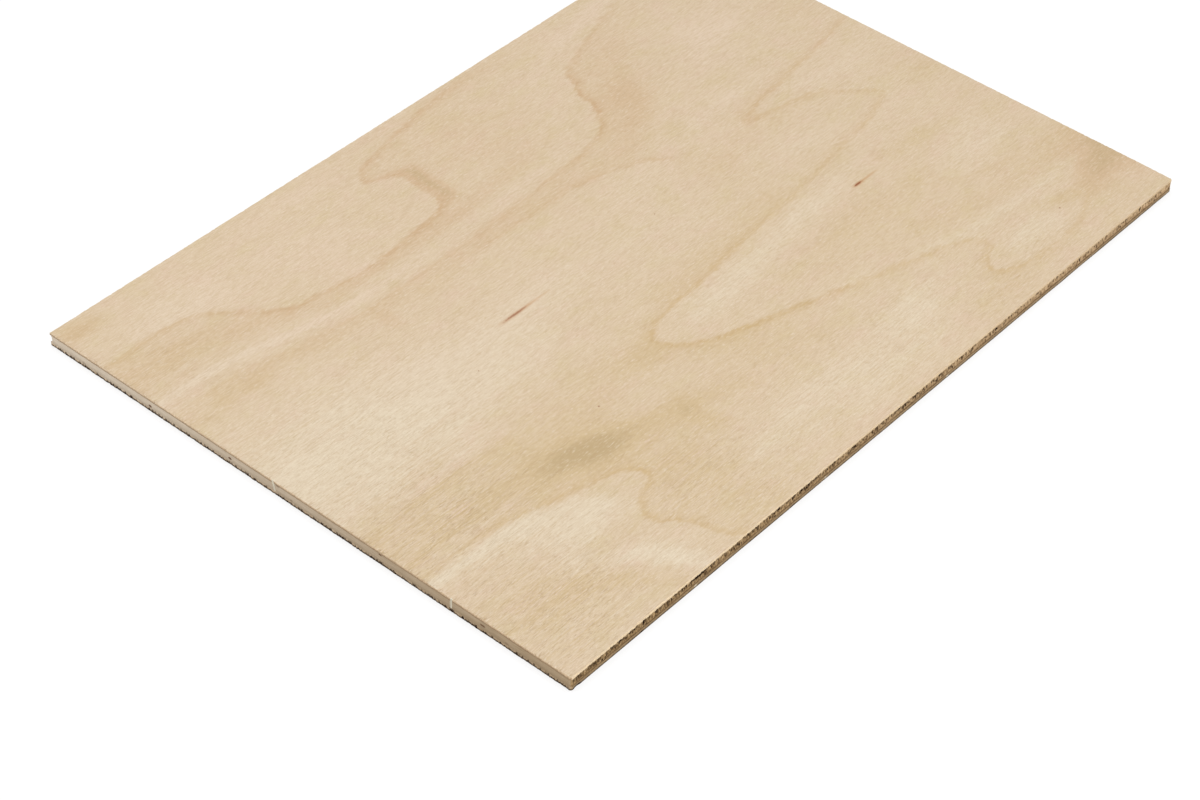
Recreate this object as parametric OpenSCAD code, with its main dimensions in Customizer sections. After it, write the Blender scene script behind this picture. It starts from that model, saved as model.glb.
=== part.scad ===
// Three-ply plywood sheet, lying flat.
// Three veneers are glued face to face. The grain of the face and back veneers
// runs along Y; the core's grain runs across it, along X, so that its end grain
// shows on the two long edges.
// Origin: the middle of the underside. X is across the sheet, Y is along it, Z is up.

/* [Sheet] */
// Width of the sheet, across the face grain
sheet_w = 210; // [150:1:600]
// Length of the sheet, along the face grain
sheet_l = 297; // [200:1:1200]

/* [Veneers] */
// Thickness of the face veneer
face_t = 0.8; // [0.4:0.1:3]
// Thickness of the core veneer
core_t = 2.8; // [2:0.1:12]
// Thickness of the back veneer
back_t = 1.4; // [0.4:0.1:3]

/* [Long edges] */
// How far the core's end grain has crumbled back from the left long edge
left_inset = 0.6; // [0.1:0.1:3]
// How far the core's end grain lies behind the right long edge
right_inset = 0.1; // [0.05:0.05:1]
// Radius of the two worn corners of the right long edge
worn_corner_r = 0.9; // [0.3:0.1:5]

/* [Open gap in the core's right edge] */
// Length of the gap along the edge
gap_l = 4; // [1.5:0.1:20]
// Height of the gap
gap_h = 0.7; // [0.3:0.1:1.4]
// Depth of the gap into the core
gap_depth = 2; // [0.5:0.1:10]
// Distance of the gap's middle from the near end
gap_offset = 54.5; // [15:0.5:120]
// Thickness of core left between the gap and the face veneer
gap_cover = 0.1; // [0.1:0.1:0.5]

/* [Nicks in the near end] */
// Width of a nick
nick_w = 0.6; // [0.2:0.1:3]
// Depth of a nick into the near end
nick_depth = 0.4; // [0.1:0.1:3]
// Distance of the first nick's foot from the left long edge
first_nick_offset = 96.3; // [10:0.1:100]
// Lean of the first nick from upright, in degrees
first_nick_lean = -14; // [-40:1:40]
// Distance of the second nick's foot from the right long edge
second_nick_offset = 44.4; // [10:0.1:45]
// Lean of the second nick from upright, in degrees
second_nick_lean = 0; // [-40:1:40]

/* [Hidden] */
$fn = 48;

core_z = back_t;                // underside of the core
face_z = core_z + core_t;       // underside of the face veneer
sheet_t = face_z + face_t;      // top of the sheet
left_x = -sheet_w / 2;          // left long edge
right_x = sheet_w / 2;          // right long edge
near_y = -sheet_l / 2;          // near end
nick_reach = 2 * sheet_t;       // a nick's cutter is longer than any leaning nick
past = 1;                       // how far a cutter runs out past a surface

face_color = [0.87, 0.79, 0.68];
core_color = [0.72, 0.64, 0.53];
back_color = [0.66, 0.56, 0.43];

// A veneer that spans from x0 to x1 and the whole length of the sheet, with its
// two right-hand corners worn round.
module veneer(x0, x1, z, t) {
    straight_w = x1 - x0 - worn_corner_r;
    translate([x0, near_y, z])
        linear_extrude(t)
            union() {
                square([straight_w, sheet_l]);
                translate([0, worn_corner_r])
                    square([x1 - x0, sheet_l - 2 * worn_corner_r]);
                for (y = [worn_corner_r, sheet_l - worn_corner_r])
                    translate([straight_w, y])
                        circle(r = worn_corner_r);
            }
}

// A narrow slot down the near end, from the foot of the core through the face.
module nick(foot_x, lean) {
    translate([foot_x, near_y, core_z])
        rotate([0, lean, 0])
            translate([-nick_w / 2, -past, -past])
                cube([nick_w, nick_depth + past, nick_reach]);
}

module nicks() {
    nick(left_x + first_nick_offset, first_nick_lean);
    nick(right_x - second_nick_offset, second_nick_lean);
}

// A round-ended pocket in the core's right edge, just under the face veneer.
module core_gap() {
    bottom_z = face_z - gap_cover - gap_h;
    end_shift = (gap_l - gap_h) / 2;
    start_x = right_x - right_inset - gap_depth;
    translate([start_x, near_y + gap_offset, bottom_z]) {
        translate([0, -end_shift, 0])
            cube([gap_depth + past, 2 * end_shift, gap_h]);
        for (side = [-1, 1])
            translate([0, side * end_shift, gap_h / 2])
                rotate([0, 90, 0])
                    cylinder(d = gap_h, h = gap_depth + past);
    }
}

module back_veneer() {
    color(back_color)
        veneer(left_x, right_x, 0, back_t);
}

module core_veneer() {
    color(core_color)
        difference() {
            veneer(left_x + left_inset, right_x - right_inset, core_z, core_t);
            nicks();
            core_gap();
        }
}

module face_veneer() {
    color(face_color)
        difference() {
            veneer(left_x, right_x, face_z, face_t);
            nicks();
        }
}

back_veneer();
core_veneer();
face_veneer();
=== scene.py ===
"""The looks of a three-ply plywood sheet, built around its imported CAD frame.

Each veneer is replaced by a closed mesh whose walls are cut, torn and pitted as sawn
plywood is, and the two outer faces carry the wood's figure. Lengths are in millimetres
up to the mesh, which is in Blender's metres. x runs across the sheet, y along it and z
up, from the middle of the underside.
"""

import math

import bpy
import numpy as np
from mathutils import Matrix, Vector


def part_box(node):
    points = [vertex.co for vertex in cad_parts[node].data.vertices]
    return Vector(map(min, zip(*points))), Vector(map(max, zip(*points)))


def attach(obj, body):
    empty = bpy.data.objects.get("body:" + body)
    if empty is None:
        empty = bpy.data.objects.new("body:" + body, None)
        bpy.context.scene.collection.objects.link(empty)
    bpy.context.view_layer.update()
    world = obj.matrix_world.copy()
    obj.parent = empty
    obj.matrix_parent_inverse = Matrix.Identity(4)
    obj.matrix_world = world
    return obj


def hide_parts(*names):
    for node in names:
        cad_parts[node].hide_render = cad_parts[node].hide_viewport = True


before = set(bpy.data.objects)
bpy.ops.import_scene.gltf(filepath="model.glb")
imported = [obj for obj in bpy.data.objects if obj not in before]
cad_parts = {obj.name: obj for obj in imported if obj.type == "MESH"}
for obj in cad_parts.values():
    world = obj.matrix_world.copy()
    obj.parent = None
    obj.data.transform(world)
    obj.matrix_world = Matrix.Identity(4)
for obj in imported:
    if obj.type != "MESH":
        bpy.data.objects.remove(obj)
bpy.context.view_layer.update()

MM = 0.001  # metres in a millimetre

# ---- the sheet, from its frame


def box_mm(node):
    """A CAD node's lowest and highest corners, in millimetres."""
    return [np.array(corner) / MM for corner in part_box(node)]


FACE_LOW, FACE_HIGH = box_mm("face_veneer")
CORE_LOW, CORE_HIGH = box_mm("core_veneer")
BACK_LOW, BACK_HIGH = box_mm("back_veneer")
LEFT_X, RIGHT_X = FACE_LOW[0], FACE_HIGH[0]
NEAR_Y, FAR_Y = FACE_LOW[1], FACE_HIGH[1]
WORN_CORNER_R = 0.9  # the two right-hand corners, as in the CAD part

# ---- the figure of the face

# The growth rings' contours on the face veneer, as (x, y, strength). The darker late
# wood lies on the left of each line as it is followed. Neighbours take turns: no two
# even ones come close to each other, and no two odd ones do.
FACE_RINGS = [
    # the loop in the near left quarter
    [(-103, 29, 0.3), (-100, 4, 0.8), (-95, -19, 1.0), (-92, -28, 1.1), (-88, -32, 1.2),
     (-85, -29, 1.0), (-83, -24, 1.0), (-79, -21, 1.0), (-74, -22, 1.0), (-67, -22, 1.0),
     (-62, -23, 1.1), (-59, -29, 1.3), (-57.5, -44, 1.1), (-56, -59, 1.0), (-57, -76, 1.0),
     (-60, -91, 1.1), (-67, -100, 0.9), (-74, -107, 0.8), (-79, -114, 0.8),
     (-81, -127, 0.9), (-81, -149, 0.7)],
    # the long step that falls from the far left
    [(-95, 102, 0.3), (-88, 79, 0.6), (-82, 63, 0.8), (-79, 57, 1.0), (-71, 53, 1.3),
     (-68, 50.5, 1.4), (-61, 49.5, 1.3), (-54, 45, 1.2), (-48.5, 37.5, 0.9), (-46, 27, 0.8),
     (-44.5, 8, 0.8), (-43, -12, 0.7), (-42.5, -32, 0.7), (-42.5, -52, 0.6),
     (-42.5, -77, 0.6), (-46, -101, 0.4), (-50, -122, 0.4), (-50, -149, 0.3)],
    # the arch beside it
    [(-37, -47, 0.1), (-36.5, -20, 0.5), (-35.5, 10, 0.7), (-33, 25, 0.6), (-29.5, 35, 0.7),
     (-25, 42, 0.7), (-19, 45, 0.2), (-10, 43, 0.0)],
    # the tongue right of the middle, with the peaks and dips at its roots
    [(88, 124, 0.2), (94, 110, 0.6), (95.5, 96, 0.6), (94, 80, 0.9), (90, 71, 1.1),
     (85, 73, 0.9), (81, 79.5, 0.8), (75.5, 79.5, 0.7), (70, 68, 0.8), (64, 47, 0.7),
     (59, 31, 1.0), (55, 18, 1.2), (50, 1, 1.3), (45, -13, 1.3), (39, -23.5, 1.2),
     (33, -27.5, 1.2), (28.5, -24.5, 1.1), (26, -15, 1.1), (24.5, 3, 1.2), (22, 22, 0.9),
     (20, 45, 0.7), (18, 65, 0.6), (15, 85, 0.7), (12.5, 103, 0.7), (9, 115, 0.6),
     (6, 122.5, 0.7), (0, 117, 0.7), (-6, 111, 0.7), (-10, 107.5, 0.8), (-14, 93, 0.7),
     (-17.5, 78, 0.9), (-20.5, 87, 0.9), (-22.5, 101, 0.9), (-25, 118, 0.7),
     (-27.5, 134, 0.7), (-30.5, 149, 0.5)],
    # the faint dip inside the tongue's far end
    [(63, 149, 0.1), (60, 134, 0.3), (57, 113, 0.4), (52, 100, 0.3), (45, 97, 0.2),
     (38, 103, 0.2), (31, 122, 0.2), (26, 149, 0.1)],
    # the step in the near right corner
    [(50, -149, 0.5), (50, -131, 0.5), (51, -116, 0.7), (55, -103, 1.1), (58.5, -89, 1.0),
     (62, -78, 1.0), (66, -74, 1.3), (69.5, -75, 1.2), (72, -81, 0.9), (76, -85.5, 1.0),
     (81, -87, 1.2), (86, -83.5, 1.1), (92.5, -79.5, 1.0), (99, -78, 1.0), (105, -74, 1.0)],
]

# Bands of early and late wood on the face, as (x, y, half-width, tone). A tone over 0 is
# tan late wood, and under 0 is pale early wood.
FACE_BANDS = [
    # pale, left of the long step and down to the near end
    [(-99, 102, 3.5, -0.9), (-95, 78, 3.5, -1.0), (-90, 58, 3.5, -0.8), (-84, 45, 4, -0.7),
     (-76, 39, 3.5, -0.6), (-62, 35, 3, -0.5), (-54, 27, 2.8, -0.7), (-50.5, 12, 2.6, -0.9),
     (-49, -10, 2.4, -1.0), (-48.5, -40, 2.2, -0.9), (-47.5, -66, 2.4, -1.0),
     (-48.5, -86, 2.2, -1.3), (-52, -102, 2.0, -1.3), (-55, -117, 2.0, -1.3),
     (-57, -132, 1.9, -1.3), (-57.5, -149, 1.9, -1.2)],
    # tan, between the loop and that pale band
    [(-60, 22, 5, 0.2), (-55, 0, 4, 0.5), (-53.5, -25, 3.5, 0.6), (-53, -60, 2.6, 0.5),
     (-53, -85, 2.6, 0.6)],
    [(-58, -95, 4, 0.7), (-66, -112, 8, 1.0), (-70, -130, 8, 1.0), (-70, -149, 8, 1.0)],
    # tan, above and right of the long step
    [(-86, 106, 6, 0.4), (-80, 84, 8, 0.5), (-70, 70, 9, 0.7), (-57, 61, 9, 1.2),
     (-47, 57, 8, 1.0), (-40, 38, 6.5, 0.6), (-38, 18, 6, 0.25), (-37, -8, 5.5, 0.3),
     (-37, -30, 5, 0.4), (-37, -60, 4, 0.5), (-40, -90, 3, 0.5), (-44, -112, 4, 0.7),
     (-44, -149, 6, 0.7)],
    # the red-brown bar across the top of the loop
    [(-83, -23, 1.6, 0.7), (-80, -17.5, 2.6, 2.0), (-74, -18.5, 2.8, 1.8),
     (-69, -18, 2.8, 2.0), (-63, -18.5, 2.8, 1.8), (-60.5, -23, 1.5, 0.9)],
    # pale, at the far left of the middle
    [(-62, 120, 12, -0.8), (-57, 100, 12, -1.0), (-42, 100, 9, -0.6)],
    [(-30, 110, 2.5, -0.4), (-30, 80, 3.5, -0.8), (-28, 55, 3.5, -0.7), (-22, 24, 6, -0.4)],
    # pale, the wide middle of the near half
    [(-12, -10, 15, -0.5), (-6, -45, 17, -0.8), (-3, -75, 21, -1.2), (-3, -105, 24, -1.5),
     (-2, -149, 24, -1.4)],
    # tan, from beside the tongue's tip to the near end, sharp on its left
    [(14, 52, 7, 0.7), (17, 20, 6, 0.7), (20, -10, 4, 0.6)],
    [(34, -34, 8, 0.8), (30, -58, 8, 0.5), (33, -84, 9, 0.5)],
    [(30, -92, 4, 1.0), (29, -112, 4, 1.1), (28.5, -149, 4, 1.1)],
    [(41, -98, 8, 0.9), (40, -122, 8, 0.8), (40, -149, 8, 0.9)],
    # the dark cloud above the near right step
    [(64, -24, 3.5, 0.4), (60, -38, 4, 0.8), (56, -50, 4.5, 1.0), (53, -62, 5.5, 1.4),
     (50, -76, 6, 3.0), (47, -88, 6.5, 2.1), (49, -98, 5, 0.9)],
    [(54, -43, 3.5, 0.6), (62, -46, 4, 1.1), (69, -42, 4, 0.7)],
    # pale, under the near right step
    [(60.5, -96, 2.6, -0.6), (57.5, -112, 3.4, -1.5), (54.5, -130, 3, -1.4),
     (53, -149, 2.8, -1.4)],
    [(67, -92, 5, -1.4), (68, -104, 7, -1.3), (73, -113, 7, -0.9), (83, -107, 4, -1.0),
     (90, -98, 5, -1.4), (98, -93, 5, -1.4), (106, -89, 5, -1.1)],
    # tan, in the near right corner
    [(106, -99, 5, 0.6), (94, -107, 5, 0.8), (86, -119, 5, 0.7), (80, -136, 14, 0.5)],
    # tan and pale inside the tongue
    [(21, 94, 3, -0.3), (25, 70, 4, -0.8), (28, 42, 4.5, -0.8), (32, 12, 6, -0.9),
     (34, -8, 5, -0.8), (35, -18, 3, -0.2)],
    [(30, 112, 6, 0.6), (28, 92, 4, 0.6)],
    [(44, 90, 9, 0.7), (46, 64, 9, 0.7), (46, 40, 8, 0.6), (46, 18, 5, 0.3)],
    [(44, 128, 9, -0.7), (46, 112, 6, -0.5)],
    # pale and tan at the tongue's roots
    [(-13, 100, 4, 0.3), (-13, 76, 6, 0.4), (-10, 54, 11, 0.8)],
    [(4, 104, 4, -0.3), (5, 84, 5, -0.7), (4, 68, 4, -0.4)],
    [(-14, 148, 9, -0.4), (-12, 128, 6, -0.5), (-17, 104, 2, -0.4)],
    [(66, 148, 9, 1.0), (67, 122, 6, 0.6), (64, 90, 5, 0.6), (58, 70, 4, 0.4)],
    [(75, 142, 2.2, -0.4), (74, 112, 2.4, -0.9), (72, 88, 2.4, -0.7), (67, 64, 2.5, -0.4)],
    [(81, 149, 12, 2.4), (82, 138, 8.5, 2.4), (86, 124, 5, 1.4), (82, 110, 2.5, 0.6)],
    [(87, 104, 4.5, -0.8), (86, 92, 5.5, -1.0), (88, 83, 3, -0.8)],
    # pale, right of the tongue
    [(74, 58, 5, -0.4), (80, 40, 10, -0.9), (87, 14, 12, -0.9), (85, -16, 14, -0.8),
     (86, -38, 10, -0.5)],
]

# Soft patches of the face, as (x, y, half-width, half-length, tone).
FACE_PATCHES = [
    (42, -76, 17, 22, 0.6), (84, -62, 26, 14, 0.8), (-99, -143, 4.5, 9, 1.9),
    (-74, 12, 20, 22, 0.6), (-84, -112, 10, 22, -0.8), (-80, -66, 17, 26, -0.6),
    (-97, -60, 6, 44, -0.5), (-101, 16, 3.5, 26, 0.7), (-42, -122, 5, 7, 0.7),
    (-33, -75, 8, 3, 0.7), (-45, -134, 6, 2.5, 0.5), (-28, -107, 6, 10, -0.2),
    (-2, 18, 16, 22, -0.5), (30, 143, 9, 7, 0.4), (5, 144, 8, 9, 0.5),
    (96, 130, 6, 16, 0.5), (99, 60, 4, 16, 0.3), (68, 6, 5, 44, 0.4), (58, -10, 5, 22, 0.4),
    (-46, 138, 14, 8, 0.5), (48, -12, 5, 12, 0.5),
]

# Where long streaks of grain stand out most, as (x, y, half-width, half-length, amount).
FACE_STREAKS = [
    (38, -126, 20, 34, 1.0), (84, -132, 30, 30, 1.0), (85, -62, 26, 26, 0.6),
    (-68, -132, 16, 22, 0.5), (0, -120, 30, 40, 0.5), (88, 20, 22, 90, 0.3),
]

# The back veneer's figure is plainer.
BACK_RINGS = [
    [(-64, -149, 0.3), (-60, -90, 0.6), (-50, -20, 0.8), (-38, 40, 0.9), (-26, 66, 1.0),
     (-16, 72, 1.0), (-5, 60, 0.9), (4, 10, 0.8), (9, -60, 0.6), (12, -149, 0.4)],
    [(-46, -149, 0.2), (-42, -90, 0.4), (-33, -30, 0.6), (-24, 6, 0.7), (-17, 14, 0.7),
     (-10, 2, 0.6), (-5, -50, 0.4), (-3, -149, 0.2)],
    [(40, 149, 0.2), (44, 70, 0.5), (52, -10, 0.5), (62, -80, 0.6), (74, -149, 0.4)],
    [(-92, 149, 0.3), (-88, 60, 0.5), (-84, -40, 0.4), (-90, -149, 0.3)],
]
BACK_BANDS = [
    [(-78, -149, 5, 0.5), (-74, -60, 6, 0.7), (-62, 20, 7, 0.6), (-44, 90, 9, 0.5),
     (-20, 118, 12, 0.6), (8, 90, 8, 0.5), (18, 0, 6, 0.6), (26, -149, 6, 0.4)],
    [(-26, -149, 9, -0.7), (-22, -60, 7, -0.6), (-17, -10, 4, -0.4)],
    [(92, 149, 6, 0.5), (90, 30, 7, 0.6), (96, -149, 6, 0.4)],
    [(62, 149, 8, -0.6), (66, 20, 7, -0.5), (86, -149, 5, -0.5)],
]
BACK_PATCHES = [
    (-96, 100, 8, 40, -0.4), (40, -110, 9, 30, 0.4), (10, 138, 16, 9, 0.5),
    (-62, -120, 8, 24, -0.4),
]
BACK_STREAKS = [(0, -60, 90, 90, 0.7), (50, 110, 40, 50, 0.5)]

# Pin knots, as (x, y, half-width, half-length, darkness, length of the pale brown tail).
PIN_KNOTS = [(30.4, 75.8, 0.6, 2.6, 1.0, 9.0), (-7.7, -47.5, 0.6, 7.0, 0.7, 14.0)]
# Specks, as (x, y, radius).
SPECKS = [(38.8, -61.5, 0.35), (1.8, -74.0, 0.25), (86.2, 110.5, 0.35), (-8.0, 19.0, 0.25)]

# ---- marks in the cut edges

# The two nicks in the near end, as (x of the foot, lean in degrees).
NICKS = [(-8.7, -14.0), (60.6, 0.0)]
NICK_W, NICK_DEPTH = 0.7, 0.3

# Brown stains on the core at the near end, as (x, z, half-width, half-height, strength).
CORE_STAINS = [
    (-90, 1.8, 0.9, 0.4, 0.35), (-61, 2.2, 0.8, 0.5, 0.9), (-27.2, 2.5, 0.8, 0.45, 1.0),
    (-7.5, 4.1, 0.9, 0.4, 0.6), (33.4, 3.9, 0.7, 0.4, 0.8), (72.5, 2.8, 1.2, 0.4, 0.8),
    (81.5, 2.0, 0.9, 0.4, 0.4), (-2.0, 1.9, 0.6, 0.3, 0.5),
]

# Open hollows in the core's right edge, as (y, z, half-length, half-height, depth). The
# first is the gap that the CAD part has.
CORE_HOLLOWS = [
    (-94.0, 3.5, 2.8, 0.68, 2.0), (-131.2, 3.7, 0.6, 0.5, 0.9), (-128.0, 3.5, 0.4, 0.6, 0.8),
    (-117.9, 3.4, 0.45, 0.8, 1.0), (-58.0, 3.5, 0.5, 0.75, 1.2), (-47.4, 3.4, 0.45, 0.6, 0.9),
    (-31.9, 3.6, 0.4, 0.5, 0.8), (-0.7, 3.6, 1.0, 0.4, 1.2), (20.1, 3.4, 0.6, 0.4, 0.9),
    (49.7, 2.9, 0.6, 0.5, 0.9), (-76.0, 2.2, 0.35, 0.5, 0.7), (-22.0, 3.1, 0.4, 0.5, 0.7),
]

# Pale chips along the foot of the back veneer's right edge, as (y, z, half-length, half-height).
PALE_CHIPS = [(-95.7, 0.75, 0.7, 0.3), (-36.5, 0.8, 0.8, 0.25), (24.0, 0.7, 0.7, 0.2)]

# Chips along that foot, dark with painted shade, in the same way.
DARK_CHIPS = [(-146.0, 0.3, 1.5, 0.45), (-119.0, 0.3, 0.8, 0.25), (-52.0, 0.25, 0.9, 0.2)]

# ---- noise and curves


def lattice_noise(u, v, cell_u, cell_v, seed):
    """Smooth noise from 0 to 1 over (u, v), with cells of that size."""
    table = np.random.default_rng(seed).random((257, 257))
    u, v = np.broadcast_arrays(np.asarray(u) / cell_u, np.asarray(v) / cell_v)
    iu, iv = np.floor(u).astype(int), np.floor(v).astype(int)
    fu, fv = u - iu, v - iv
    fu, fv = fu * fu * (3 - 2 * fu), fv * fv * (3 - 2 * fv)
    iu, iv = iu % 256, iv % 256
    low = table[iu, iv] * (1 - fu) + table[iu + 1, iv] * fu
    high = table[iu, iv + 1] * (1 - fu) + table[iu + 1, iv + 1] * fu
    return low * (1 - fv) + high * fv


def smooth_step(value, start, end):
    """0 below start, 1 above end, and a smooth rise between them."""
    t = np.clip((value - start) / (end - start), 0, 1)
    return t * t * (3 - 2 * t)


def spline(points, step):
    """A curve through points, as rows of their own columns, sampled about every step."""
    points = np.array(points, dtype=float)
    ends = [2 * points[0] - points[1]], [2 * points[-1] - points[-2]]
    padded = np.concatenate([ends[0], points, ends[1]])
    samples = []
    for a, b, c, d in zip(padded, padded[1:], padded[2:], padded[3:]):
        count = max(2, math.ceil(np.linalg.norm((c - b)[:2]) / step))
        t = (np.arange(count) / count)[:, None]
        samples.append(0.5 * (2 * b + (c - a) * t + (2 * a - 5 * b + 4 * c - d) * t**2
                              + (3 * b - a - 3 * c + d) * t**3))
    samples.append(points[-1:])
    return np.concatenate(samples)


RING_STEP, BAND_STEP = 0.7, 2.0  # spacing of the samples along a ring and along a band
RING_REACH = 6.5  # how far from a ring its line may show
LATE_TONE, LATE_FADE = 0.5, 8.0  # the tan wood beside a ring, and how fast it fades
EARLY_TONE, EARLY_FADE = -0.4, 4.0  # the pale wood on the ring's other side
NO_RING = 99.0  # a distance from a ring at which nothing of it shows


def nearest_on(line, x, y):
    """For each (x, y), the nearest sample of a line, and the distance to it."""
    squared = (x[:, None] - line[None, :, 0]) ** 2 + (y[:, None] - line[None, :, 1]) ** 2
    pick = squared.argmin(axis=1)
    return pick, np.sqrt(squared[np.arange(len(x)), pick])


def ovals(x, y, patches):
    """The sum of soft ovals, each (x, y, half-width, half-length, amount)."""
    total = np.zeros(x.shape)
    for px, py, half_w, half_l, amount in patches:
        total += amount * np.exp(-((x - px) / half_w) ** 2 - ((y - py) / half_l) ** 2)
    return total


def side_of(line, pick, x, y):
    """1 for each (x, y) on the left of a line as it is followed, and -1 on its right."""
    ahead = np.gradient(line[:, :2], axis=0)[pick]
    return np.sign(ahead[:, 0] * (y - line[pick, 1]) - ahead[:, 1] * (x - line[pick, 0]))


def add_ring(found, ring, parity, x, y):
    """Adds a ring's wood to the tone, and its line where it is the nearest of its parity."""
    line = spline(ring, RING_STEP)
    pick, distance = nearest_on(line, x, y)
    side, weight = side_of(line, pick, x, y), line[pick, 2]
    late = LATE_TONE * weight * np.exp(-distance / LATE_FADE)
    early = EARLY_TONE * weight * np.exp(-distance / EARLY_FADE)
    found["tone"] += np.where(side > 0, late, early)
    gap, strength = found["ring_gap" + parity], found["ring_strength" + parity]
    closer = distance < np.abs(gap)
    gap[closer] = (side * distance)[closer]
    strength[closer] = (weight * smooth_step(distance, RING_REACH, 0.6 * RING_REACH))[closer]


def figure(x, y, rings, bands, patches, streaks):
    """The figure at each (x, y), by the name of its attribute. ring_gap is the distance to
    the nearest even or odd ring, over 0 on its late-wood side, and ring_strength that
    ring's strength. Tone is the wood's, and streak how much its grain stands out."""
    found = {"tone": ovals(x, y, patches), "streak": ovals(x, y, streaks)}
    for parity in "01":
        found["ring_gap" + parity] = np.full(x.shape, NO_RING)
        found["ring_strength" + parity] = np.zeros(x.shape)
    for index, ring in enumerate(rings):
        add_ring(found, ring, str(index % 2), x, y)
    for band in bands:
        line = spline(band, BAND_STEP)
        pick, distance = nearest_on(line, x, y)
        found["tone"] += line[pick, 3] * np.exp(-(distance / line[pick, 2]) ** 2)
    return found


# ---- the outline of a veneer

NEAR, FRONT_CORNER, RIGHT, FAR_CORNER, FAR, LEFT = range(6)
SIDE_OF_EDGE = np.array([0, 1, 1, 1, 2, 3])  # each edge's side: near, right, far or left
CORNER_STEPS = 8
LAP = 10000.0  # more than any side's length


class Outline:
    """A veneer's outline, counter-clockwise from the near left corner. Each point has its
    edge, its outward normal, its place along that edge, which is x on an end and y on a
    long edge, and its progress round the sheet. steps gives the points' spacing on the
    near, right, far and left edges."""

    def __init__(self, x0, x1, steps):
        r = WORN_CORNER_R
        spans = ((x0, x1 - r), (NEAR_Y + r, FAR_Y - r), (x1 - r, x0), (FAR_Y, NEAR_Y))
        near, right, far, left = (
            np.linspace(a, b, math.ceil(abs(b - a) / step), endpoint=False)
            for (a, b), step in zip(spans, steps))
        turn = np.linspace(-math.pi / 2, 0, CORNER_STEPS, endpoint=False)
        parts = [
            (NEAR, near, np.full_like(near, NEAR_Y), 0 * near, 0 * near - 1, near),
            self.corner(FRONT_CORNER, x1 - r, NEAR_Y + r, turn),
            (RIGHT, np.full_like(right, x1), right, 0 * right + 1, 0 * right, right),
            self.corner(FAR_CORNER, x1 - r, FAR_Y - r, turn + math.pi / 2),
            (FAR, far, np.full_like(far, FAR_Y), 0 * far, 0 * far + 1, far),
            (LEFT, np.full_like(left, x0), left, 0 * left - 1, 0 * left, left),
        ]
        self.edge = np.concatenate([np.full(len(p[1]), p[0]) for p in parts])
        self.x, self.y, self.nx, self.ny, self.place = (
            np.concatenate([p[k] for p in parts]) for k in range(1, 6))
        self.length = len(self.x)
        self.x0, self.x1 = x0, x1
        onward = np.where(self.edge >= FAR, -self.place, self.place)
        self.progress = SIDE_OF_EDGE[self.edge] * LAP + onward

    @staticmethod
    def corner(edge, cx, cy, angle):
        """A worn corner. Its place is that of the long edge beside it."""
        r, nx, ny = WORN_CORNER_R, np.cos(angle), np.sin(angle)
        return edge, cx + r * nx, cy + r * ny, nx, ny, cy + r * ny

    def stepped_in(self, depth):
        """The outline moved straight in by depth, and gathered only near the corners."""
        gather = 3 * depth

        def moved(value, low, high):
            return np.interp(value, [low, low + gather, high - gather, high],
                             [low + depth, low + gather, high - gather, high - depth])
        return moved(self.x, self.x0, self.x1), moved(self.y, NEAR_Y, FAR_Y)


# ---- relief of the cut edges


class Relief:
    """How far each wall point of one veneer is cut back, by row and outline point, and how
    hollow, fresh or stained it looks, each from 0 to 1."""

    def __init__(self, outline, heights):
        self.outline, self.heights = outline, heights
        self.z = heights[:, None] + 0 * outline.x[None, :]
        self.place = 0 * heights[:, None] + outline.place[None, :]
        self.inset = np.zeros(self.z.shape)
        self.looks = {name: np.zeros(self.z.shape) for name in ("hollow", "fresh", "stain")}

    def on(self, *edges):
        """1 for the points on these edges, and 0 for the others."""
        return np.isin(self.outline.edge, edges)[None, :].astype(float)

    def spot(self, edge, place, z, half_w, half_h, lean=0.0, square=False):
        """The outline points near a leaning oval or, if square, a leaning slot on an edge,
        and how near its middle each of their wall points is, from 0 to 1."""
        reach = half_w + abs(lean) * half_h + 0.1
        columns = np.flatnonzero((self.outline.edge == edge)
                                 & (np.abs(self.outline.place - place) < reach))
        if not len(columns):
            return columns, np.zeros((self.z.shape[0], 0))
        rise = self.z[:, columns] - z
        across = (self.place[:, columns] - place - lean * rise) / half_w
        if square:
            return columns, np.clip(1 - np.abs(across), 0, 1) * (np.abs(rise) <= half_h)
        return columns, np.clip(1 - across**2 - (rise / half_h) ** 2, 0, 1)

    def pit(self, edge, place, z, half_w, half_h, depth, lean=0.0, dark=1.0):
        """A hollow in the wall, with painted shade inside it and a little way round it."""
        columns, near = self.spot(edge, place, z, half_w, half_h, lean)
        self.inset[:, columns] = np.maximum(self.inset[:, columns], depth * np.sqrt(near))
        self.mark("hollow", edge, place, z, 1.35 * half_w, 1.35 * half_h, dark, lean)

    def mark(self, look, edge, place, z, half_w, half_h, strength, lean=0.0):
        """A spot that only changes how the wall looks."""
        columns, near = self.spot(edge, place, z, half_w, half_h, lean)
        field = self.looks[look]
        field[:, columns] = np.maximum(field[:, columns], strength * smooth_step(near, 0, 0.5))

    def nick(self, foot_x, lean_degrees):
        """A nick in the near end, from the core's foot up through the face, its fresh wood
        brightened with painted light.
        """
        lean = math.tan(math.radians(lean_degrees))
        foot_z = CORE_LOW[2]
        columns, near = self.spot(NEAR, foot_x, foot_z, NICK_W / 2, 2 * FACE_HIGH[2], lean, True)
        near = near * smooth_step(self.z[:, columns], foot_z + 0.1, foot_z + 0.6)
        self.inset[:, columns] += NICK_DEPTH * near
        fresh = self.looks["fresh"]
        fresh[:, columns] = np.maximum(fresh[:, columns], smooth_step(near, 0, 0.12))


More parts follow.
